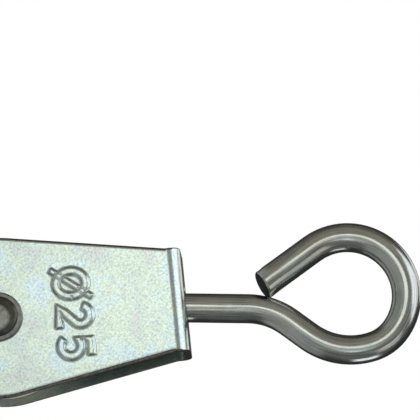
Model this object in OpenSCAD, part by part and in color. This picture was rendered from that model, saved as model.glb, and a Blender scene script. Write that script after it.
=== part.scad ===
// Single swivel eye pulley of folded zinc plated sheet, hung by its eye.
// Millimetres, +Z up, eye on top. The origin is the centre of the sheave, on the axle.
// The axle runs along Y and the marked cheek faces -Y.

/* [Cheek strap] */
// Thickness of the folded sheet
sheet_t = 1.2; // [0.8:0.1:2]
// Clear distance between the two cheeks
cheek_gap = 10.8; // [8.5:0.1:16]
// Radius of the round lower end of a cheek
cheek_end_r = 13.7; // [11:0.1:20]
// Width of the bridge and of the strip over the folds
bridge_w = 17.7; // [14:0.1:24]
// Axle centre to the outer face of the bridge
bridge_h = 31.5; // [26:0.1:45]
// Inside radius of the two folds
fold_r = 1.3; // [0.5:0.1:2.5]

/* [Axle] */
// Diameter of the axle pin
axle_d = 5; // [4:0.1:6]
// Radial clearance of the axle in the cheeks and the washer
axle_fit = 0.05; // [0.02:0.01:0.1]
// Diameter of the formed head on the back
axle_head_d = 8.4; // [7:0.1:12]
// Height of the formed head on the back
axle_head_h = 1.7; // [1:0.1:3]
// Diameter of the peened end where it spreads on the washer
peen_d = 6.8; // [6.2:0.1:9]
// Diameter of the flattened top of the peened end
peen_top_d = 5; // [3:0.1:6]
// Height of the peened end over the washer
peen_h = 1.2; // [0.6:0.1:2]
// Diameter of the washer under the peened end
washer_d = 8.3; // [7:0.1:12]
// Thickness of the washer
washer_t = 0.8; // [0.5:0.1:1.5]

/* [Sheave] */
// Diameter over the flanges
sheave_d = 25; // [20:0.1:27]
// Depth of the rope groove
groove_depth = 4.5; // [3:0.1:5.5]
// Radius of the bottom of the rope groove
groove_r = 2.6; // [1.5:0.1:3.5]
// Width of the flange edge at the rim
rim_edge = 0.7; // [0.4:0.1:1.5]
// Diameter of the raised hub faces
hub_d = 12; // [8:0.5:14]
// Free space between a hub face and a cheek
hub_play = 0.3; // [0.2:0.05:0.8]
// Step from a hub face back to the flange
flange_step = 0.4; // [0.2:0.1:1]
// Radial running clearance on the axle
sheave_fit = 0.08; // [0.03:0.01:0.1]

/* [Swivel eye] */
// Diameter of the rod
rod_d = 5; // [4:0.1:6]
// Radial clearance of the rod in the bridge
swivel_fit = 1.15; // [0.5:0.05:1.3]
// Lean of the loose eye toward +X
eye_lean = 6.8; // [0:0.1:8]
// Sideways place of the rod in its hole
eye_shift = 0.7; // [-0.7:0.05:0.7]
// Outer face of the bridge to the start of the neck bend
shank_len = 10.5; // [8:0.1:20]
// Centreline radius of the neck bend
neck_r = 12; // [8:0.05:16]
// Angle of the neck bend
neck_a = 35.3; // [20:0.1:45]
// Straight rod between the neck bend and the loop
neck_len = 4.2; // [2:0.1:8]
// Centreline radius of the first part of the loop
loop_r1 = 12.05; // [9:0.05:16]
// Angle of the first part of the loop
loop_a1 = 54.5; // [30:0.5:66]
// Centreline radius of the outer part of the loop
loop_r2 = 7.75; // [6:0.05:14]
// Angle of the outer part of the loop
loop_a2 = 35; // [20:0.5:70]
// Centreline radius of the last part of the loop
loop_r3 = 10.05; // [8:0.05:14]
// Angle of the last part of the loop
loop_a3 = 163; // [130:0.5:165]
// Free space between the end of the arm and the shank
end_gap = 0.05; // [0.05:0.05:1.5]
// Bevel round the cut end of the arm
end_bevel = 0.5; // [0.1:0.1:1]
// Height of the upset head inside the strap
upset_h = 3.2; // [2.5:0.1:5]
// Drop of the head's shoulder from the shank to its edge
upset_drop = 0.9; // [0.5:0.1:1.5]
// Free space between the head and the cheeks
upset_side = 0.6; // [0.4:0.05:1.5]
// Free space between the head's shoulder and the bridge
upset_play = 0.3; // [0.1:0.05:0.6]

/* [Hidden] */
$fn = 96;
// facets round the rod
rod_fn = 48;
// lengths of rod stop this short of a joint, and a collar this much wider and this long joins them
joint_trim = 0.05;
joint_swell = 0.02;
joint_len = 0.3;
over = 1;
cheek_out = cheek_gap / 2 + sheet_t;
fold_out_r = fold_r + sheet_t;
bridge_in = bridge_h - sheet_t;
// side lines of a cheek, tangent to its round end and ending where the fold starts
fold_z = bridge_h - fold_out_r;
side_reach = sqrt(bridge_w * bridge_w / 4 + fold_z * fold_z);
side_a = atan2(fold_z, bridge_w / 2) - acos(cheek_end_r / side_reach);
side_x = cheek_end_r * cos(side_a);
side_z = cheek_end_r * sin(side_a);
axle_hole_d = axle_d + 2 * axle_fit;
// dome of the axle's head, as shares of its radius and its height
head_flat_share = 0.55;
head_shoulder_share = 0.85;
head_shoulder_up = 0.7;
head_edge_up = 0.25;
// share of the peened end's height that is its upright edge
peen_edge_share = 0.45;
// rounding of the washer's edge, as a share of its thickness
washer_round_share = 0.3;
swivel_hole_d = rod_d + 2 * swivel_fit;
hub_half = cheek_gap / 2 - hub_play;
flange_half = hub_half - flange_step;
groove_half = flange_half - rim_edge;
groove_mid = sheave_d / 2 - groove_depth + groove_r;
upset_d = cheek_gap - 2 * upset_side;
// bevel round the foot of the upset head
upset_bevel = 0.7;
// heading of the rod after each part of the loop, and how far it is then from the shank's axis
heading_1 = neck_a - loop_a1;
heading_2 = heading_1 - loop_a2;
heading_3 = heading_2 - loop_a3;
arm_x = neck_r * (1 - cos(neck_a)) + neck_len * sin(neck_a)
    + loop_r1 * (cos(heading_1) - cos(neck_a))
    + loop_r2 * (cos(heading_2) - cos(heading_1))
    + loop_r3 * (cos(heading_3) - cos(heading_2));
// the arm stops where the edge of its bevel is end_gap from the shank
arm_stop_x = -rod_d / 2 * (1 + abs(cos(heading_3))) - end_gap;
arm_len = (arm_stop_x - arm_x) / sin(heading_3) + end_bevel;
// on the eye's own axis, the head's shoulder starts this far under the bridge
upset_gap = upset_play + rod_d / 2 * tan(eye_lean);

module along_y() {
    rotate([90, 0, 0]) children();
}

// cheek outline, x across and y up
module cheek_outline() {
    circle(r = cheek_end_r, $fn = 180);
    polygon([
        [-side_x, side_z],
        [side_x, side_z],
        [bridge_w / 2, fold_z],
        [bridge_w / 2, bridge_h],
        [-bridge_w / 2, bridge_h],
        [-bridge_w / 2, fold_z]
    ]);
}

// filled outline of the fold, x across the gap and y up, rounded at its two upper corners
module fold_fill(half, top, r) {
    translate([-half, -cheek_end_r - over]) square([2 * half, top - r + cheek_end_r + over]);
    translate([-half + r, top - 2 * r]) square([2 * (half - r), 2 * r]);
    for (side = [-1, 1]) translate([side * (half - r), top - r]) circle(r = r);
}

module cheek_strap() {
    color([0.87, 0.91, 0.89])
    difference() {
        intersection() {
            translate([-cheek_end_r - over, 0, 0]) rotate([90, 0, 90])
            linear_extrude(height = 2 * (cheek_end_r + over)) difference() {
                fold_fill(cheek_out, bridge_h, fold_out_r);
                translate([0, -over]) fold_fill(cheek_gap / 2, bridge_in + over, fold_r);
            }
            along_y() linear_extrude(height = 2 * (cheek_out + over), center = true) cheek_outline();
        }
        along_y() cylinder(d = axle_hole_d, h = 2 * (cheek_out + over), center = true);
        translate([0, 0, bridge_in - over]) cylinder(d = swivel_hole_d, h = sheet_t + 2 * over);
    }
}

// half section of the pin, x is the radius and y runs toward the peened end
module axle_section() {
    seat = cheek_out + washer_t;
    head_r = axle_head_d / 2;
    peen_edge = peen_edge_share * peen_h;
    polygon([
        [0, -cheek_out - axle_head_h],
        [head_flat_share * head_r, -cheek_out - axle_head_h],
        [head_shoulder_share * head_r, -cheek_out - head_shoulder_up * axle_head_h],
        [head_r, -cheek_out - head_edge_up * axle_head_h],
        [head_r, -cheek_out],
        [axle_d / 2, -cheek_out],
        [axle_d / 2, seat],
        [peen_d / 2, seat],
        [peen_d / 2, seat + peen_edge],
        [peen_top_d / 2, seat + peen_h],
        [0, seat + peen_h]
    ]);
}

module axle_rivet() {
    color([0.42, 0.43, 0.4]) along_y() rotate_extrude() axle_section();
}

module axle_washer() {
    rounding = washer_round_share * washer_t;
    color([0.5, 0.52, 0.5])
    along_y() translate([0, 0, cheek_out]) rotate_extrude() polygon([
        [axle_hole_d / 2, 0],
        [washer_d / 2, 0],
        [washer_d / 2, washer_t - rounding],
        [washer_d / 2 - rounding, washer_t],
        [axle_hole_d / 2, washer_t]
    ]);
}

module sheave() {
    color([0.9, 0.89, 0.84])
    along_y() rotate_extrude($fn = 180) difference() {
        polygon([
            [axle_d / 2 + sheave_fit, -hub_half],
            [hub_d / 2, -hub_half],
            [hub_d / 2, -flange_half],
            [sheave_d / 2, -flange_half],
            [sheave_d / 2, flange_half],
            [hub_d / 2, flange_half],
            [hub_d / 2, hub_half],
            [axle_d / 2 + sheave_fit, hub_half]
        ]);
        translate([groove_mid, 0]) circle(r = groove_r);
        polygon([
            [groove_mid, -groove_r],
            [sheave_d / 2, -groove_half],
            [sheave_d / 2 + over, -groove_half],
            [sheave_d / 2 + over, groove_half],
            [sheave_d / 2, groove_half],
            [groove_mid, groove_r]
        ]);
    }
}

// straight rod up from the origin
module rod_line(len) {
    translate([0, 0, joint_trim]) cylinder(d = rod_d, h = len - 2 * joint_trim, $fn = rod_fn);
}

// bent rod up from the origin, turning toward +X
module rod_bend(r, a) {
    trim_a = joint_trim / r * 180 / PI;
    translate([r, 0, 0]) rotate([90, 0, 180]) rotate([0, 0, trim_a])
    rotate_extrude(angle = a - 2 * trim_a, $fn = 2 * rod_fn)
    translate([r, 0]) circle(d = rod_d, $fn = rod_fn);
}

// collar round the origin where two lengths of rod meet
module rod_joint() {
    cylinder(d = rod_d + joint_swell, h = joint_len, center = true, $fn = rod_fn);
}

// moves on to the far end of a straight rod
module past_line(len) {
    translate([0, 0, len]) {
        rod_joint();
        children();
    }
}

// moves on to the far end of a bend, with side 1 for +X and -1 for -X
module past_bend(r, a, side) {
    translate([side * r * (1 - cos(a)), 0, r * sin(a)]) rotate([0, side * a, 0]) {
        rod_joint();
        children();
    }
}

// upset head below the origin and shank above it, round the eye's axis
module headed_shank(len) {
    rotate_extrude($fn = rod_fn) polygon([
        [0, len - joint_trim],
        [rod_d / 2, len - joint_trim],
        [rod_d / 2, 0],
        [upset_d / 2, -upset_drop],
        [upset_d / 2, -upset_h + upset_bevel],
        [upset_d / 2 - upset_bevel, -upset_h],
        [0, -upset_h]
    ]);
}

module arm_end() {
    shaft = arm_len - end_bevel;
    translate([0, 0, joint_trim]) rotate_extrude($fn = rod_fn) polygon([
        [0, 0],
        [rod_d / 2, 0],
        [rod_d / 2, shaft - joint_trim],
        [rod_d / 2 - end_bevel, arm_len - joint_trim],
        [0, arm_len - joint_trim]
    ]);
}

module eye_loop() {
    rotate([0, 0, 180]) rod_bend(loop_r1, loop_a1);
    past_bend(loop_r1, loop_a1, -1) {
        rotate([0, 0, 180]) rod_bend(loop_r2, loop_a2);
        past_bend(loop_r2, loop_a2, -1) {
            rotate([0, 0, 180]) rod_bend(loop_r3, loop_a3);
            past_bend(loop_r3, loop_a3, -1) arm_end();
        }
    }
}

module swivel_eye() {
    inner = sheet_t + upset_gap;
    color([0.43, 0.43, 0.41])
    translate([eye_shift, 0, bridge_h]) rotate([0, eye_lean, 0]) {
        translate([0, 0, -inner]) headed_shank(inner + shank_len);
        past_line(shank_len) {
            rod_bend(neck_r, neck_a);
            past_bend(neck_r, neck_a, 1) {
                rod_line(neck_len);
                past_line(neck_len) eye_loop();
            }
        }
    }
}

cheek_strap();
axle_rivet();
axle_washer();
sheave();
swivel_eye();
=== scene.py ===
from math import acos, atan2, cos, degrees, hypot, pi, radians, sin

import bpy
from mathutils import Matrix, Vector


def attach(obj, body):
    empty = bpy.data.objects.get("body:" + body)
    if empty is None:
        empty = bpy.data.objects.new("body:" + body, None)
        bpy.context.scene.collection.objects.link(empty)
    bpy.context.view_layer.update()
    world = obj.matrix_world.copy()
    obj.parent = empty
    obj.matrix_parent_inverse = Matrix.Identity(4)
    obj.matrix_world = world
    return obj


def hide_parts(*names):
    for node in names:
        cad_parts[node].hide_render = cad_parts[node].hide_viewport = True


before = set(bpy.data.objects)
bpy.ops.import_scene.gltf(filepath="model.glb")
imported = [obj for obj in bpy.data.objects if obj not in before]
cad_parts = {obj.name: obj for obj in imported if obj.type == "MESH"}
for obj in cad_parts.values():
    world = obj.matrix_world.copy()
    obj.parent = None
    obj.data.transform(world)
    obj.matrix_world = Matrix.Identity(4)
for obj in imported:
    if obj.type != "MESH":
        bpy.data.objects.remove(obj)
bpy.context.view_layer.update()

MM = 0.001

# sizes of the part, in millimetres, as in the part's source
SHEET_T = 1.2
CHEEK_GAP = 10.8
CHEEK_END_R = 13.7
BRIDGE_W = 17.7
BRIDGE_H = 31.5
FOLD_R = 1.3
AXLE_D = 5.0
WASHER_D = 8.3
WASHER_T = 0.8
PEEN_D = 6.8
PEEN_H = 1.2
AXLE_HEAD_D = 8.4
AXLE_HEAD_H = 1.7
SHEAVE_D = 25.0
GROOVE_DEPTH = 4.5
GROOVE_R = 2.6
HUB_D = 12.0
HUB_HALF = CHEEK_GAP / 2 - 0.3
FLANGE_HALF = HUB_HALF - 0.4
GROOVE_HALF = FLANGE_HALF - 0.7
SHEAVE_BORE_R = AXLE_D / 2 + 0.08
ROD_D = 5.0
SWIVEL_HOLE_D = 7.3
EYE_LEAN = radians(6.8)
EYE_SHIFT = 0.7
# turn of each bend in degrees, with its centreline radius; a straight has no turn
EYE_BENDS = [(0, 10.5), (35.3, 12.0), (0, 4.2), (-54.5, 12.05), (-35.0, 7.75), (-163.0, 10.05)]
END_GAP = 0.05
END_BEVEL = 0.5
UPSET_D = CHEEK_GAP - 1.2
UPSET_H = 3.2
UPSET_DROP = 0.9
UPSET_GAP = 0.598
CHEEK_OUT = CHEEK_GAP / 2 + SHEET_T

# sizes that only this file has, in millimetres
# the rod's cut end is turned this far toward the marked cheek's side
END_SLANT = radians(12)
# and this far toward the shank
END_SIDE_SLANT = radians(7)
# its broken edge is finer than the bevel in the part's source, which leaves room for the slant
END_BREAK = 0.3
# shearing pushed a lip of the end this far along the rod and toward the shank
END_LIP = (0.12, 0.08)
# rounding that shearing leaves on the outer edges of the sheet
EDGE_ROLL = 0.7
# it shrinks over a fold: each time to this share of itself, from this height over the fold's start
ROLL_STEPS = ((0.75, 0.2), (0.7, 0.6), (0.6, 1.2))
# broken edges of the sheet's holes, and of the sheave
HOLE_BREAK = 0.12
SHEAVE_BREAK = 0.18
# play of the axle in the holes of the sheet and the washer
AXLE_PLAY = 0.05
# strokes of the mark are drawn this far out of the cheek, and flattened at this height
STROKE_TOP = 0.60
MARK_TOP = 0.45
# the struck top of the axle lies this far off its axis, in X and Z
STRUCK_OFF = (0.35, -0.3)

# lengths that differ by less are taken as the same, and corners that are closer than WELD are joined
NEAR = 0.01
WELD = 0.002
# longer than the part, for a cutter that goes right through
THROUGH = 40


# ---------------------------------------------------------------- hand tools

def let_go():
    """Back to object mode, with nothing selected."""
    if bpy.context.object and bpy.context.object.mode != "OBJECT":
        bpy.ops.object.mode_set(mode="OBJECT")
    bpy.ops.object.select_all(action="DESELECT")


def pick(piece):
    let_go()
    piece.select_set(True)
    bpy.context.view_layer.objects.active = piece


def choose(piece, wanted, kind="FACE"):
    """Edit mode on the piece, with what `wanted` says yes to selected."""
    pick(piece)
    bpy.ops.object.mode_set(mode="EDIT")
    bpy.ops.mesh.select_mode(type=kind)
    bpy.ops.mesh.select_all(action="DESELECT")
    bpy.ops.object.mode_set(mode="OBJECT")
    mesh = piece.data
    items = {"FACE": mesh.polygons, "EDGE": mesh.edges, "VERT": mesh.vertices}[kind]
    for item in items:
        item.select = bool(wanted(item))
    bpy.ops.object.mode_set(mode="EDIT")


def edge_ends(piece, edge):
    """Both ends of an edge, in millimetres."""
    a, b = (piece.data.vertices[i].co for i in edge.vertices)
    return a / MM, b / MM


def runs_along_x(piece, level):
    """Says yes to the edges that run along X at a height."""
    def wanted(edge):
        a, b = edge_ends(piece, edge)
        return abs(a.z - level) < NEAR and abs(b.z - level) < NEAR and abs(a.y - b.y) < NEAR
    return wanted


def finish_modifier(piece, kind, **settings):
    pick(piece)
    modifier = piece.modifiers.new(kind.lower(), kind)
    for name, value in settings.items():
        setattr(modifier, name, value)
    bpy.ops.object.modifier_apply(modifier=modifier.name)


def face_outward(piece):
    choose(piece, lambda face: True)
    bpy.ops.mesh.remove_doubles(threshold=WELD * MM)
    bpy.ops.mesh.select_all(action="SELECT")
    bpy.ops.mesh.normals_make_consistent(inside=False)
    let_go()


def set_place(piece):
    """Puts the object's place into its mesh."""
    pick(piece)
    bpy.ops.object.transform_apply(location=True, rotation=True, scale=True)


def soften(piece, angle):
    """Smooth shading with sharp creases, where large flat faces keep their own normals."""
    pick(piece)
    bpy.ops.object.shade_smooth_by_angle(angle=radians(angle))
    finish_modifier(piece, "WEIGHTED_NORMAL", keep_sharp=True, weight=90)


def wear_second(piece, material, wanted):
    """Gives the faces that `wanted` says yes to a second material."""
    piece.data.materials.append(material)
    choose(piece, wanted)
    piece.active_material_index = 1
    bpy.ops.object.material_slot_assign()
    let_go()


def drawn_outline(name, points, closed=True):
    """A line of edges through the points, in millimetres, drawn out from one corner."""
    let_go()
    bpy.ops.mesh.primitive_plane_add(size=MM, location=(0, 0, 0))
    piece = bpy.context.object
    piece.name = name
    bpy.ops.object.mode_set(mode="EDIT")
    bpy.ops.mesh.select_mode(type="VERT")
    bpy.ops.mesh.select_all(action="SELECT")
    bpy.ops.mesh.merge(type="CENTER")
    points = [Vector(p) * MM for p in points]
    bpy.ops.transform.translate(value=points[0])
    for last, point in zip(points, points[1:]):
        bpy.ops.mesh.extrude_vertices_move(TRANSFORM_OT_translate={"value": point - last})
    if closed:
        bpy.ops.mesh.extrude_vertices_move(TRANSFORM_OT_translate={"value": points[0] - points[-1]})
        bpy.ops.mesh.select_all(action="SELECT")
        bpy.ops.mesh.remove_doubles(threshold=WELD * MM)
    let_go()
    return piece


def drawn_curve(name, points, dimensions):
    """A curve through the points, in millimetres."""
    curve = bpy.data.curves.new(name, "CURVE")
    curve.dimensions = dimensions
    spline = curve.splines.new("POLY")
    spline.points.add(len(points) - 1)
    for point, place in zip(spline.points, points):
        point.co = (*(size * MM for size in place), 1)
    piece = bpy.data.objects.new(name, curve)
    bpy.context.collection.objects.link(piece)
    return piece


def keep_place(piece):
    """Keeps where each point lies before the piece is bent, so that a pattern can follow the metal."""
    mesh = piece.data
    kept = mesh.attributes.new("before_bending", "FLOAT_VECTOR", "POINT")
    for point, vertex in zip(kept.data, mesh.vertices):
        point.vector = vertex.co


def turned(name, profile, steps):
    """A lathe turned piece. The profile says radius and place along Y of each corner, from the axis to the
    axis or round a ring."""
    piece = drawn_outline(name, [(r, y, 0) for r, y in profile], closed=profile[0][0] > 0.001)
    pick(piece)
    bpy.ops.object.mode_set(mode="EDIT")
    bpy.ops.mesh.select_all(action="SELECT")
    bpy.ops.mesh.spin(steps=steps, angle=2 * pi, center=(0, 0, 0), axis=(0, 1, 0))
    bpy.ops.mesh.select_all(action="SELECT")
    bpy.ops.mesh.remove_doubles(threshold=2 * WELD * MM)
    let_go()
    face_outward(piece)
    return piece


def arc(cx, cy, r, start, end, count):
    """Points of an arc, angles in degrees."""
    return [(cx + r * cos(radians(start + (end - start) * i / count)),
             cy + r * sin(radians(start + (end - start) * i / count))) for i in range(count + 1)]


# ---------------------------------------------------------------- materials

def srgb(code):
    parts = [int(code[i:i + 2], 16) / 255 for i in (1, 3, 5)]
    return tuple(p / 12.92 if p <= 0.04045 else ((p + 0.055) / 1.055) ** 2.4 for p in parts) + (1.0,)


def add_node(tree, kind, settings=None, links=None):
    node = tree.nodes.new(kind)
    for name, value in (settings or {}).items():
        if isinstance(name, int) or name in node.inputs:
            node.inputs[name].default_value = value
        else:
            setattr(node, name, value)
    for name, source in (links or {}).items():
        tree.links.new(source, node.inputs[name])
    return node


def noise(tree, place, scale, detail=3.0, roughness=0.6, distortion=0.0):
    """A cloudy pattern. Places are in metres, so a scale of 1000 gives clouds of about a millimetre."""
    return add_node(tree, "ShaderNodeTexNoise", {"Scale": scale, "Detail": detail, "Roughness": roughness,
                                                 "Distortion": distortion}, {"Vector": place}).outputs["Fac"]


def shades(tree, value, stops):
    """Colours or greys for the values of a pattern."""
    node = add_node(tree, "ShaderNodeValToRGB", links={"Fac": value})
    ramp = node.color_ramp
    while len(ramp.elements) < len(stops):
        ramp.elements.new(0.5)
    for element, (place, colour) in zip(ramp.elements, stops):
        element.position = place
        element.color = srgb(colour) if isinstance(colour, str) else (colour, colour, colour, 1)
    return node.outputs["Color"]


def ranged(tree, value, low, high, start=0.0, end=1.0):
    """The value, where `start` becomes `low` and `end` becomes `high`."""
    ends = {"From Min": start, "From Max": end, "To Min": low, "To Max": high}
    return add_node(tree, "ShaderNodeMapRange", ends, {"Value": value}).outputs[0]


def blank_material(name, colour):
    material = bpy.data.materials.new(name)
    material.use_nodes = True
    material.diffuse_color = srgb(colour)
    tree = material.node_tree
    place = add_node(tree, "ShaderNodeTexCoord").outputs["Object"]
    return material, tree, tree.nodes["Principled BSDF"], place


def coat(tree, shader, colour=None, roughness=None, relief=None, strength=0.0, depth=0.0001):
    """Links patterns to the shader. Relief is a bump of the given strength and depth in metres."""
    for name, value in (("Base Color", colour), ("Roughness", roughness)):
        if value is not None:
            tree.links.new(value, shader.inputs[name])
    if relief is not None:
        bump = add_node(tree, "ShaderNodeBump", {"Strength": strength, "Distance": depth}, {"Height": relief})
        tree.links.new(bump.outputs["Normal"], shader.inputs["Normal"])


def turned_coordinates(tree, place, turn, stretch):
    run = add_node(tree, "ShaderNodeMapping", {"Rotation": turn}, {"Vector": place}).outputs["Vector"]
    return add_node(tree, "ShaderNodeMapping", {"Scale": stretch}, {"Vector": run}).outputs["Vector"]


def mixed(tree, kind, one, two, share=1.0):
    """One colour mixed with another, in one of the Mix node's ways."""
    node = add_node(tree, "ShaderNodeMix", {"data_type": "RGBA", "blend_type": kind})
    for index, value in ((0, share), (6, one), (7, two)):
        if hasattr(value, "is_linked"):
            tree.links.new(value, node.inputs[index])
        else:
            node.inputs[index].default_value = value
    return node.outputs[2]


def bright_zinc_sheet():
    """Bright zinc plate on rolled sheet: nearly white, with faint blue, green, yellow and pink passivation
    tints, an orange peel grain that speckles its soft mirror, and fine handling scratches that cross at a
    slant."""
    material, tree, shader, place = blank_material("bright_zinc_plated_sheet", "#e6ece8")
    # tints change over about 6 mm
    tint = noise(tree, place, 150.0, distortion=0.8)
    tinted = shades(tree, tint, [(0.30, "#bfccd8"), (0.42, "#c6d3d3"), (0.52, "#cdd6cb"), (0.60, "#c8d2d0"),
                                 (0.72, "#d2d0cf")])
    # crystals of about 0.3 mm
    crystal = noise(tree, place, 3000.0, roughness=0.7)
    mottle = shades(tree, crystal, [(0.32, "#c9d0d0"), (0.55, "#fbfcfa")])
    # scratches about 0.15 mm wide and 2 mm long, in two slanting directions across the cheek
    scratches = []
    for turn in (radians(40), radians(-50)):
        run = turned_coordinates(tree, place, (0, turn, 0), (3800, 3800, 300))
        scratches.append(shades(tree, noise(tree, run, 1.0, detail=2.0), [(0.56, 1.0), (0.68, 0.0)]))
    scratched = mixed(tree, "MULTIPLY", scratches[0], scratches[1])
    coat(tree, shader, mixed(tree, "MULTIPLY", tinted, mottle, 0.8), ranged(tree, tint, 0.17, 0.30),
         mixed(tree, "MIX", scratched, crystal, 0.7), 0.15)
    shader.inputs["Metallic"].default_value = 1.0
    return material


def sheared_zinc_edge():
    """Sheared edge of the same sheet: rolled over and torn, so plated thin, brown grey and dull, with fine
    score lines."""
    material, tree, shader, place = blank_material("sheared_zinc_edge", "#6b6862")
    # score lines 0.3 mm apart, straight through the sheet
    score = noise(tree, turned_coordinates(tree, place, (0, 0, 0), (3000, 300, 3000)), 1.0)
    coat(tree, shader, shades(tree, score, [(0.35, "#57534c"), (0.65, "#8a877f")]), None, score, 0.35)
    shader.inputs["Roughness"].default_value = 0.4
    shader.inputs["Metallic"].default_value = 1.0
    return material


def drawn_zinc_rod():
    """Zinc plated drawn rod: darker than the sheet, smooth and glossy, with warm and cool clouds in the
    plating and faint drawing streaks that run along it through every bend."""
    material, tree, shader, place = blank_material("zinc_plated_drawn_rod", "#a9a8a2")
    along = add_node(tree, "ShaderNodeAttribute", {"attribute_name": "before_bending"}).outputs["Vector"]
    # plating clouds about 3 mm across
    cloud = noise(tree, place, 300.0, roughness=0.5)
    clouds = shades(tree, cloud, [(0.32, "#b6b4ad"), (0.5, "#bcbeb8"), (0.68, "#adb5b2")])
    # streaks 0.3 mm wide and some 8 mm long
    streak = noise(tree, turned_coordinates(tree, along, (0, 0, 0), (120, 3300, 3300)), 1.0)
    streaks = shades(tree, streak, [(0.36, "#b9b9b6"), (0.58, "#ffffff")])
    coat(tree, shader, mixed(tree, "MULTIPLY", clouds, streaks, 0.7), ranged(tree, streak, 0.14, 0.26),
         streak, 0.10)
    shader.inputs["Metallic"].default_value = 1.0
    return material


def sheared_rod_end():
    """Sheared end of the rod: torn steel that took little plating, so dark blue green and dull, with coarse
    grain."""
    material, tree, shader, place = blank_material("sheared_rod_end", "#47514f")
    # grain of about 0.6 mm
    grain = noise(tree, place, 1800.0, 4.0, 0.65)
    coat(tree, shader, shades(tree, grain, [(0.35, "#262f2e"), (0.65, "#444f4d")]), None, grain, 0.4)
    shader.inputs["Roughness"].default_value = 0.38
    shader.inputs["Metallic"].default_value = 1.0
    return material


def worked_steel(name, light, dark, dent_scale):
    """Cold worked steel: dull grey, blotched by its thin plating, with soft hammer dents."""
    material, tree, shader, place = blank_material(name, light)
    # blotches of about 1 mm
    blotch = noise(tree, place, 900.0, 4.0)
    dent = add_node(tree, "ShaderNodeTexVoronoi", {"feature": "SMOOTH_F1", "Scale": dent_scale},
                    {"Vector": place})
    coat(tree, shader, None, ranged(tree, blotch, 0.32, 0.46), dent.outputs["Distance"], 0.25, 0.0002)
    shader.inputs["Metallic"].default_value = 1.0
    return material, tree, shader, place, shades(tree, blotch, [(0.35, dark), (0.62, light)])


def peened_axle_steel():
    """The hammered end of the axle: its struck top is painted lighter than the metal that spread round it, a
    painted sheen where its flat face mirrors the light.
    """
    material, tree, shader, place, blotches = worked_steel("peened_axle_steel", "#9a9b94", "#7b7d76", 800.0)
    off_x, off_z = STRUCK_OFF
    across = add_node(tree, "ShaderNodeVectorMath", {
        "operation": "MULTIPLY_ADD", 1: (1, 0, 1), 2: (-off_x * MM, 0, -off_z * MM)}, {0: place}).outputs[0]
    out = add_node(tree, "ShaderNodeVectorMath", {"operation": "LENGTH"}, {0: across}).outputs["Value"]
    # painted sheen: the struck top is painted lighter where its flat face mirrors the light
    painted_top_sheen = ranged(tree, out, 0.0, 1.0, 2.25 * MM, 2.5 * MM)
    shade = shades(tree, painted_top_sheen, [(0.0, "#ffffff"), (1.0, "#a3a19b")])
    coat(tree, shader, mixed(tree, "MULTIPLY", blotches, shade))
    return material


def washer_zinc():
    """The washer: zinc plated blanked steel, gone dull grey, with fine dents."""
    material, tree, shader, _, blotches = worked_steel("dull_zinc_plated_washer", "#8c8e89", "#70736e",
                                                       1500.0)
    coat(tree, shader, blotches)
    return material


def moulded_nylon():
    """Moulded natural nylon: off-white and a little waxy, so light sinks in, with soft clouds and a fine
    grain."""
    material, tree, shader, place = blank_material("moulded_natural_nylon", "#e4dfd0")
    # clouds of about 4 mm, grain of about 0.4 mm
    cloud = noise(tree, place, 260.0)
    grain = noise(tree, place, 2600.0, roughness=0.5)
    coat(tree, shader, shades(tree, cloud, [(0.3, "#d9d3c2"), (0.7, "#e9e5d8")]),
         ranged(tree, cloud, 0.36, 0.52), grain, 0.08)
    shader.inputs["IOR"].default_value = 1.53
    shader.inputs["Subsurface Weight"].default_value = 0.12
    shader.inputs["Subsurface Radius"].default_value = (0.9, 0.75, 0.55)
    shader.inputs["Subsurface Scale"].default_value = 1.2 * MM
    return material


zinc_sheet = bright_zinc_sheet()
sheared_zinc = sheared_zinc_edge()
zinc_rod = drawn_zinc_rod()
sheared_rod = sheared_rod_end()
peened_steel = peened_axle_steel()
washer_steel = washer_zinc()
nylon = moulded_nylon()


def dress(piece, material, body, node):
    """Material, moving body and replaced CAD node (or none) of a finished piece."""
    if not piece.data.materials:
        piece.data.materials.append(material)
    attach(piece, body)
    if node:
        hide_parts(node)


# ---------------------------------------------------------------- cheek strap

# height where the folds start
FOLD_Z = BRIDGE_H - FOLD_R - SHEET_T
# how far the side lines of a cheek turn from upright, tangent to the round end
SIDE_TURN = atan2(FOLD_Z, BRIDGE_W / 2) - acos(CHEEK_END_R / hypot(BRIDGE_W / 2, FOLD_Z))


def cheek_outline():
    """Corners of a cheek in X and Z: the round end and the two side lines up to the bridge."""
    lower = arc(0, 0, CHEEK_END_R, degrees(SIDE_TURN), -180 - degrees(SIDE_TURN), 72)
    half = BRIDGE_W / 2
    return lower + [(-half, FOLD_Z), (-half, BRIDGE_H), (half, BRIDGE_H), (half, FOLD_Z)]


def out_from_middle(point):
    """Distance out to the cheek's outline, where all of the outline is at the radius of its round end."""
    x = abs(point.x)
    if point.z > FOLD_Z:
        return x + CHEEK_END_R - BRIDGE_W / 2
    return max(x * cos(SIDE_TURN) + point.z * sin(SIDE_TURN), hypot(x, min(point.z, 0)))


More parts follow.
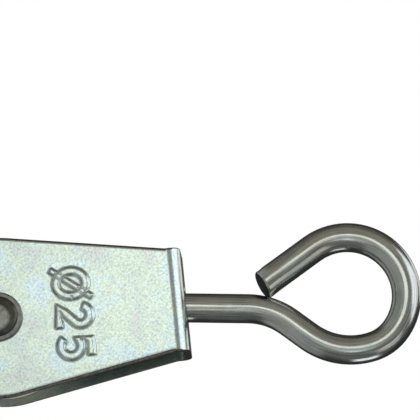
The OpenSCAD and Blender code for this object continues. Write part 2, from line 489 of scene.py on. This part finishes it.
def sharpen_edge_over_folds(strap):
    """Folding has drawn the rolled edge sharper: its width and its depth shrink in steps along the two folds,
    and stay so over the bridge."""
    half, fold_y, fold_r = BRIDGE_W / 2, CHEEK_OUT - FOLD_R - SHEET_T, FOLD_R + SHEET_T
    inner = half - EDGE_ROLL - NEAR
    # the rolled edge is a quarter round of four segments, and each of its lines lies this deep
    depths = [EDGE_ROLL * (1 - cos(radians(22.5 * i))) for i in range(1, 5)]
    on_line = 0.012
    left = 1.0
    for share, up in ROLL_STEPS:
        for side in (-1, 1):
            choose(strap, lambda v: v.co.z / MM > FOLD_Z + up and side * v.co.x / MM > inner, "VERT")
            bpy.ops.transform.resize(value=(share, 1, 1), center_override=(side * half * MM, 0, 0))
            let_go()
            for depth in depths:
                r = fold_r - left * depth
                choose(strap, lambda v: v.co.z / MM > FOLD_Z + up and side * v.co.y / MM > fold_y + NEAR
                       and abs(v.co.x / MM) > inner
                       and abs(hypot(abs(v.co.y / MM) - fold_y, v.co.z / MM - FOLD_Z) - r) < on_line, "VERT")
                more = (fold_r - share * left * depth) / r
                bpy.ops.transform.resize(value=(1, more, more),
                                         center_override=(0, side * fold_y * MM, FOLD_Z * MM))
                let_go()
        left *= share
    choose(strap, lambda v: v.co.z / MM > BRIDGE_H - EDGE_ROLL - 5 * NEAR
           and abs(v.co.y / MM) < fold_y + NEAR and abs(v.co.x / MM) > inner, "VERT")
    bpy.ops.transform.resize(value=(1, 1, left), center_override=(0, 0, BRIDGE_H * MM))
    let_go()


def round_cutter(radius, depth, **place):
    bpy.ops.mesh.primitive_cylinder_add(vertices=96, radius=radius * MM, depth=depth * MM, **place)
    cutter = bpy.context.object
    set_place(cutter)
    return cutter


def make_strap():
    strap = drawn_outline("cheek_strap_sheet", [(x, -CHEEK_OUT, z) for x, z in cheek_outline()])
    choose(strap, lambda edge: True, "EDGE")
    bpy.ops.mesh.edge_face_add()
    bpy.ops.mesh.extrude_region_move(TRANSFORM_OT_translate={"value": (0, 2 * CHEEK_OUT * MM, 0)})
    let_go()
    face_outward(strap)
    # the two folds
    choose(strap, runs_along_x(strap, BRIDGE_H), "EDGE")
    bpy.ops.mesh.bevel(offset=(FOLD_R + SHEET_T) * MM, segments=16, profile=0.5, affect="EDGES")
    let_go()
    face_outward(strap)
    # shearing has rolled the outer edges over
    choose(strap, lambda edge: False, "EDGE")
    bpy.ops.mesh.edges_select_sharp(sharpness=radians(50))
    bpy.ops.mesh.bevel(offset=EDGE_ROLL * MM, segments=4, profile=0.5, affect="EDGES")
    let_go()
    sharpen_edge_over_folds(strap)
    # the space between the cheeks
    top = BRIDGE_H - SHEET_T
    bpy.ops.mesh.primitive_cube_add(size=1, location=(0, 0, (top - THROUGH) / 2 * MM))
    space = bpy.context.object
    space.scale = (THROUGH * MM, CHEEK_GAP * MM, (top + THROUGH) * MM)
    set_place(space)
    choose(space, runs_along_x(space, top), "EDGE")
    bpy.ops.mesh.bevel(offset=FOLD_R * MM, segments=10, profile=0.5, affect="EDGES")
    let_go()
    # holes for the axle and for the shank, which goes through the bridge only
    through_bridge = 8
    cutters = [space, round_cutter(AXLE_D / 2 + AXLE_PLAY, THROUGH, rotation=(pi / 2, 0, 0)),
               round_cutter(SWIVEL_HOLE_D / 2, through_bridge, location=(0, 0, BRIDGE_H * MM))]
    for cutter in cutters:
        finish_modifier(strap, "BOOLEAN", operation="DIFFERENCE", solver="EXACT", object=cutter)
        bpy.data.objects.remove(cutter)
    finish_modifier(strap, "BEVEL", width=HOLE_BREAK * MM, segments=2, limit_method="ANGLE",
                    angle_limit=radians(50), use_clamp_overlap=True)
    soften(strap, 30)
    strap.data.materials.append(zinc_sheet)
    # the outer part of the rolled edge was sheared
    wear_second(strap, sheared_zinc,
                lambda face: out_from_middle(face.center / MM) > CHEEK_END_R - 0.55 * EDGE_ROLL)
    return strap


# ---------------------------------------------------------------- raised size mark

def digit_strokes():
    """A plain diameter sign and the figures 25, one size mark, in a hand about 6 mm high. Each stroke has a
    centreline and the radius of its punch."""
    ring = [(2.6 + x * 2.15, 2.75 + z * 2.5) for x, z in arc(0, 0, 1, 0, 360, 40)]
    slash = [(0.0, -0.6), (5.2, 6.1)]
    two = arc(8.1, 3.95, 1.55, 165, -30, 16) + [(8.9, 2.65), (7.6, 1.4), (6.5, 0.25), (10.0, 0.25)]
    five = [(15.0, 5.25), (12.3, 5.25), (12.0, 3.05)] + arc(13.2, 1.95, 1.72, 125, -140, 20)
    return [(ring, 0.76), (slash, 0.50), (two, 0.84), (five, 0.84)]


def make_mark():
    """The place of the embossed mark: a fine grid on the cheek, drawn over round strokes and smoothed, as a
    punch pulls the sheet up."""
    # lower left corner of the figures in X and Z, then how far along Y the strokes reach and are flattened
    left, low, top, flat = -7.0, 9.9, -CHEEK_OUT - STROKE_TOP, -CHEEK_OUT - MARK_TOP
    strokes = []
    for line, thick in digit_strokes():
        stroke = drawn_curve("stroke", [(left + x, top + thick, low + z) for x, z in line], "3D")
        stroke.data.bevel_depth = thick * MM
        stroke.data.bevel_resolution = 5
        stroke.data.use_fill_caps = True
        strokes.append(stroke)
    let_go()
    for stroke in strokes:
        stroke.select_set(True)
    bpy.context.view_layer.objects.active = strokes[0]
    bpy.ops.object.convert(target="MESH")
    bpy.ops.object.join()
    punch = bpy.context.object
    let_go()
    # the patch starts just above the sheet, with ten cells to a millimetre
    wide, high, lift, sink = 18.4, 9.6, 0.003, 0.005
    mid_x, mid_z = left + 7.85, low + 2.75
    bpy.ops.mesh.primitive_grid_add(x_subdivisions=round(wide * 10), y_subdivisions=round(high * 10), size=1,
                                    location=(mid_x * MM, -(CHEEK_OUT + lift) * MM, mid_z * MM),
                                    rotation=(pi / 2, 0, 0))
    mark = bpy.context.object
    mark.name = "raised_size_mark"
    mark.scale = (wide * MM, high * MM, 1)
    set_place(mark)
    finish_modifier(mark, "SHRINKWRAP", wrap_method="PROJECT", target=punch, use_project_y=True,
                    use_negative_direction=True, use_positive_direction=False, project_limit=2 * MM)
    bpy.data.objects.remove(punch)
    choose(mark, lambda v: v.co.y / MM < flat, "VERT")
    bpy.ops.transform.resize(value=(1, 0, 1), center_override=(0, flat * MM, 0))
    let_go()
    finish_modifier(mark, "SMOOTH", factor=0.5, iterations=12, use_x=False, use_y=True, use_z=False)
    # its rim goes just under the face of the sheet
    half_w, half_h = wide / 2 - 2 * NEAR, high / 2 - 2 * NEAR
    choose(mark, lambda v: abs(v.co.x / MM - mid_x) > half_w or abs(v.co.z / MM - mid_z) > half_h, "VERT")
    bpy.ops.transform.translate(value=(0, sink * MM, 0))
    let_go()

    def on_rim(edge):
        """Both ends on the same side of the patch."""
        a, b = edge_ends(mark, edge)
        return (abs(a.x - b.x) < NEAR and abs(a.x - mid_x) > half_w
                or abs(a.z - b.z) < NEAR and abs(a.z - mid_z) > half_h)

    # and it is closed behind, inside the sheet
    choose(mark, on_rim, "EDGE")
    bpy.ops.mesh.extrude_edges_move(TRANSFORM_OT_translate={"value": (0, 0.2 * MM, 0)})
    bpy.ops.mesh.edge_face_add()
    let_go()
    face_outward(mark)
    bpy.ops.object.shade_smooth_by_angle(angle=radians(60))
    return mark


# ---------------------------------------------------------------- swivel eye

def eye_centreline():
    """Points of the rod's centreline in the eye's own plane, from the head's shoulder to the cut end."""
    x, y, heading = 0.0, -SHEET_T - UPSET_GAP, 0.0
    points = [(x, y)]
    y = 0.0
    for turn, size in EYE_BENDS:
        if turn == 0:
            x, y = x + size * sin(heading), y + size * cos(heading)
            points.append((x, y))
            continue
        side = 1 if turn > 0 else -1
        cx, cy = x + side * size * cos(heading), y - side * size * sin(heading)
        # one step for every two degrees of the bend
        steps = max(6, int(abs(turn) / 2))
        for i in range(1, steps + 1):
            h = heading + radians(turn) * i / steps
            points.append((cx - side * size * cos(h), cy + side * size * sin(h)))
        heading += radians(turn)
        x, y = points[-1]
    # the arm goes back until its end lies against the shank
    arm = (-ROD_D / 2 * (1 + abs(cos(heading))) - END_GAP - x) / sin(heading) + END_BEVEL
    points.append((x + arm * sin(heading), y + arm * cos(heading)))
    return points


def straight_rod(length):
    """The rod before bending, along X, with its far end cut off at a slant and the cut edge broken."""
    let_go()
    bpy.ops.mesh.primitive_circle_add(vertices=48, radius=ROD_D / 2 * MM, fill_type="NGON",
                                      rotation=(0, pi / 2, 0))
    rod = bpy.context.object
    rod.name = "swivel_eye_rod"
    set_place(rod)
    choose(rod, lambda face: True)
    bpy.ops.mesh.extrude_region_move(TRANSFORM_OT_translate={"value": (length * MM, 0, 0)})
    let_go()
    choose(rod, lambda e: abs(edge_ends(rod, e)[0].x - edge_ends(rod, e)[1].x) > 1, "EDGE")
    rings = 170
    bpy.ops.mesh.subdivide(number_cuts=rings)
    let_go()
    face_outward(rod)
    choose(rod, lambda e: all(p.x > length - NEAR for p in edge_ends(rod, e)), "EDGE")
    bpy.ops.mesh.bevel(offset=END_BREAK * MM, segments=3, profile=0.5, affect="EDGES")
    let_go()
    choose(rod, lambda v: v.co.x / MM > length - END_BREAK - NEAR, "VERT")
    bpy.ops.transform.rotate(value=END_SLANT, orient_axis="Y", center_override=(length * MM, 0, 0))
    let_go()
    # it is longer on the side of the shank, where shearing left a lip that lies against it
    choose(rod, lambda v: v.co.x / MM > length - END_BREAK - 0.5, "VERT")
    bpy.ops.transform.rotate(value=END_SIDE_SLANT, orient_axis="Z",
                             center_override=(length * MM, -ROD_D / 2 * MM, 0))
    let_go()
    choose(rod, lambda v: v.co.x / MM > length + 0.1 and v.co.y / MM > 1.7 and abs(v.co.z / MM) < 1.1, "VERT")
    bpy.ops.transform.translate(value=(END_LIP[0] * MM, END_LIP[1] * MM, 0))
    let_go()
    rod.data.materials.append(zinc_rod)
    wear_second(rod, sheared_rod, lambda face: face.normal.x > 0.9 and face.center.x / MM > length - 1)
    keep_place(rod)
    soften(rod, 40)
    return rod


def upset_head(shoulder):
    """The head inside the bridge, turned on the shank's axis, with its shoulder at the start of the rod."""
    r, neck = UPSET_D / 2, ROD_D / 2
    head = turned("upset_head", [
        (0, 0.4), (neck - 0.02, 0.4), (neck, 0.02), (neck + 0.1, -0.06), (r - 0.35, 0.08 - UPSET_DROP),
        (r, -UPSET_DROP - 0.3), (r, 0.9 - UPSET_H), (r - 0.2, 0.35 - UPSET_H), (r - 0.7, 0.02 - UPSET_H),
        (0, -UPSET_H)], 64)
    head.location.y = shoulder * MM
    set_place(head)
    keep_place(head)
    soften(head, 40)
    head.data.materials.append(zinc_rod)
    return head


def make_eye():
    points = eye_centreline()
    rod = straight_rod(sum(hypot(x - u, y - v) for (x, y), (u, v) in zip(points, points[1:])))
    # bent along its centreline
    bender = drawn_curve("eye_centreline", [(x, y, 0) for x, y in points], "2D")
    finish_modifier(rod, "CURVE", object=bender, deform_axis="POS_X")
    bpy.data.objects.remove(bender)
    head = upset_head(points[0][1])
    let_go()
    head.select_set(True)
    rod.select_set(True)
    bpy.context.view_layer.objects.active = rod
    bpy.ops.object.join()
    # stood up in its place: the eye's own plane is X and Y so far
    eye = bpy.context.object
    eye.matrix_world = (Matrix.Translation((EYE_SHIFT * MM, 0, BRIDGE_H * MM))
                        @ Matrix.Rotation(EYE_LEAN, 4, "Y") @ Matrix.Rotation(pi / 2, 4, "X"))
    set_place(eye)
    return eye


# ---------------------------------------------------------------- axle, washer and sheave

def make_axle():
    seat = -(CHEEK_OUT + WASHER_T)
    back = CHEEK_OUT
    top = seat - PEEN_H
    r, head_r, pin_r = PEEN_D / 2, AXLE_HEAD_D / 2, AXLE_D / 2
    # the formed head is upright up to here, and domed from here on
    dome = 0.42
    profile = [(0, top + 0.06), (1.2, top + 0.04), (2.1, top + 0.05), (2.32, top + 0.08), (2.42, top + 0.26),
               (2.6, top + 0.34), (3.1, top + 0.46), (3.3, top + 0.62), (r, top + 0.85), (r, seat - 0.08),
               (r - 0.06, seat + 0.01), (pin_r, seat + 0.01), (pin_r, back - 0.01),
               (head_r - 0.08, back - 0.005), (head_r, back + 0.18), (head_r, back + dome)]
    profile += [(head_r * cos(radians(a)), back + dome + (AXLE_HEAD_H - dome) * sin(radians(a)))
                for a in range(12, 90, 13)]
    profile += [(0, back + AXLE_HEAD_H)]
    axle = turned("axle_rivet_peened", profile, 72)
    # hammer blows: the top is pushed off the middle, and its surface is uneven
    choose(axle, lambda v: v.co.y / MM < top + 0.3 and hypot(v.co.x, v.co.z) / MM < 2.5, "VERT")
    bpy.ops.transform.translate(value=(STRUCK_OFF[0] * MM, 0, STRUCK_OFF[1] * MM))
    let_go()
    choose(axle, lambda v: v.co.y / MM < seat - 0.2, "VERT")
    bpy.ops.transform.vertex_random(offset=0.05 * MM, uniform=1.0, normal=0.0, seed=3)
    bpy.ops.mesh.vertices_smooth(factor=0.5, repeat=1)
    let_go()
    soften(axle, 50)
    return axle


def make_washer():
    inner, outer, face = AXLE_D / 2 + AXLE_PLAY, WASHER_D / 2, -CHEEK_OUT
    rounding = 0.28
    profile = [(inner, face), (outer - 0.03, face), (outer, face - 0.06), (outer, face - WASHER_T + rounding)]
    profile += arc(outer - rounding, face - WASHER_T + rounding, rounding, 0, -90, 5)[1:]
    profile += [(inner, face - WASHER_T)]
    washer = turned("axle_washer_ring", profile, 96)
    soften(washer, 40)
    return washer


def make_sheave():
    rim, root, hub = SHEAVE_D / 2, SHEAVE_D / 2 - GROOVE_DEPTH, HUB_D / 2
    mid = root + GROOVE_R
    profile = [(SHEAVE_BORE_R, -HUB_HALF), (hub, -HUB_HALF), (hub, -FLANGE_HALF), (rim, -FLANGE_HALF),
               (rim, -GROOVE_HALF)]
    profile += [(mid - GROOVE_R * sin(radians(a)), -GROOVE_R * cos(radians(a))) for a in range(0, 181, 12)]
    profile += [(rim, GROOVE_HALF), (rim, FLANGE_HALF), (hub, FLANGE_HALF), (hub, HUB_HALF),
                (SHEAVE_BORE_R, HUB_HALF)]
    wheel = turned("sheave_wheel", profile, 128)
    finish_modifier(wheel, "BEVEL", width=SHEAVE_BREAK * MM, segments=3, limit_method="ANGLE",
                    angle_limit=radians(32))
    soften(wheel, 40)
    return wheel


strap = make_strap()
dress(strap, zinc_sheet, "block", "cheek_strap")
mark = make_mark()
dress(mark, zinc_sheet, "block", None)
eye = make_eye()
dress(eye, zinc_rod, "eye", "swivel_eye")
axle = make_axle()
dress(axle, peened_steel, "block", "axle_rivet")
washer = make_washer()
dress(washer, washer_steel, "block", "axle_washer")
sheave = make_sheave()
dress(sheave, nylon, "sheave", "sheave")


# ---------------------------------------------------------------- stage, light and camera

# places and sizes from here on are in metres
FLOOR_SIZE = 0.44
FLOOR_PLACE = (0, -0.10, -0.060)
MIDDLE = (0.0, 0.0, 0.035)
# each softbox: name, place, width, height, brightness and colour
SOFTBOXES = [
    ("key_softbox", (-0.111, -0.590, 0.035), 0.126, 0.28, 1.06, "#f8fffc"),
    ("front_panel", (0.060, -0.640, 0.030), 0.52, 0.28, 0.28, "#fcfffd"),
    ("fill_softbox", (0.245, -0.570, 0.050), 0.10, 0.10, 1.1, "#eef6ff"),
    ("overhead_softbox", (-0.067, -0.109, 0.434), 0.37, 0.37, 1.3, "#f2f6ff"),
    ("high_right_softbox", (0.40, -0.29, 0.37), 0.30, 0.30, 0.55, "#fffdf6"),
    ("back_softbox", (-0.18, 0.34, 0.50), 0.34, 0.34, 0.9, "#ffffff"),
    ("side_softbox", (0.72, 0.14, 0.16), 0.26, 0.26, 1.8, "#f4f7ff"),
]
# power of a square metre of softbox at brightness 1
POWER = 4


def pale_floor():
    """A sheet of matt pale paper: even and without gloss, so that only the metal shines."""
    bpy.ops.mesh.primitive_plane_add(size=FLOOR_SIZE, location=FLOOR_PLACE)
    floor = bpy.context.object
    floor.name = "pale_floor"
    set_place(floor)
    material, _, shader, _ = blank_material("matt_pale_paper", "#f4f4f2")
    shader.inputs["Base Color"].default_value = srgb("#f4f4f2")
    shader.inputs["Roughness"].default_value = 0.9
    floor.data.materials.append(material)


def softbox(name, place, width, height, brightness, colour):
    """A studio light aimed at the middle of the part."""
    data = bpy.data.lights.new(name, "AREA")
    data.shape = "RECTANGLE"
    data.size, data.size_y = width, height
    data.energy = brightness * POWER * width * height
    data.color = srgb(colour)[:3]
    lamp = bpy.data.objects.new(name, data)
    bpy.context.collection.objects.link(lamp)
    lamp.location = place
    lamp.rotation_mode = "QUATERNION"
    lamp.rotation_quaternion = (Vector(MIDDLE) - Vector(place)).to_track_quat("-Z", "Y")


def studio_room():
    """White to the camera. What the metal mirrors is warm grey on the -X side and cool grey on the +X side,
    and gets darker from the front to the back."""
    world = bpy.data.worlds.new("studio_room")
    bpy.context.scene.world = world
    world.use_nodes = True
    tree = world.node_tree
    place = add_node(tree, "ShaderNodeTexCoord").outputs["Generated"]
    toward = add_node(tree, "ShaderNodeSeparateXYZ", links={"Vector": place}).outputs
    side = ranged(tree, toward["X"], 0.0, 1.0, -0.5, 0.5)
    tone = mixed(tree, "MIX", srgb("#a9a69d"), srgb("#8b908e"), side)
    front = ranged(tree, toward["Y"], 1.0, 0.17, -0.75, 0.45)
    shaded = add_node(tree, "ShaderNodeVectorMath", {"operation": "SCALE"},
                      {0: tone, "Scale": front}).outputs[0]
    seen = add_node(tree, "ShaderNodeLightPath").outputs["Is Camera Ray"]
    tree.links.new(mixed(tree, "MIX", shaded, (1, 1, 1, 1), seen), tree.nodes["Background"].inputs["Color"])


def photo_camera():
    """The photo's camera. Its focal length was found in pixels of the photo."""
    focal_px, photo_px, sensor_mm = 2371.3, 420, 36
    lens = bpy.data.cameras.new("photo_camera")
    lens.sensor_width = sensor_mm
    lens.lens = sensor_mm * focal_px / photo_px
    lens.clip_start, lens.clip_end = 0.01, 20
    camera = bpy.data.objects.new("photo_camera", lens)
    bpy.context.collection.objects.link(camera)
    # picture right, picture down and back toward the lens, in the part's frame, and the lens's place
    right = Vector((0.099576, 0.036228, 0.99437))
    down = Vector((0.974345, 0.199154, -0.104827))
    back = Vector((0.201831, -0.979298, 0.015468))
    place = Vector((0.06646, -0.399306, 0.043479))
    camera.matrix_world = Matrix([(right[i], -down[i], back[i], place[i]) for i in range(3)] + [(0, 0, 0, 1)])
    bpy.context.scene.camera = camera


let_go()
pale_floor()
for box in SOFTBOXES:
    softbox(*box)
studio_room()
photo_camera()
bpy.context.scene.view_settings.view_transform = "Standard"
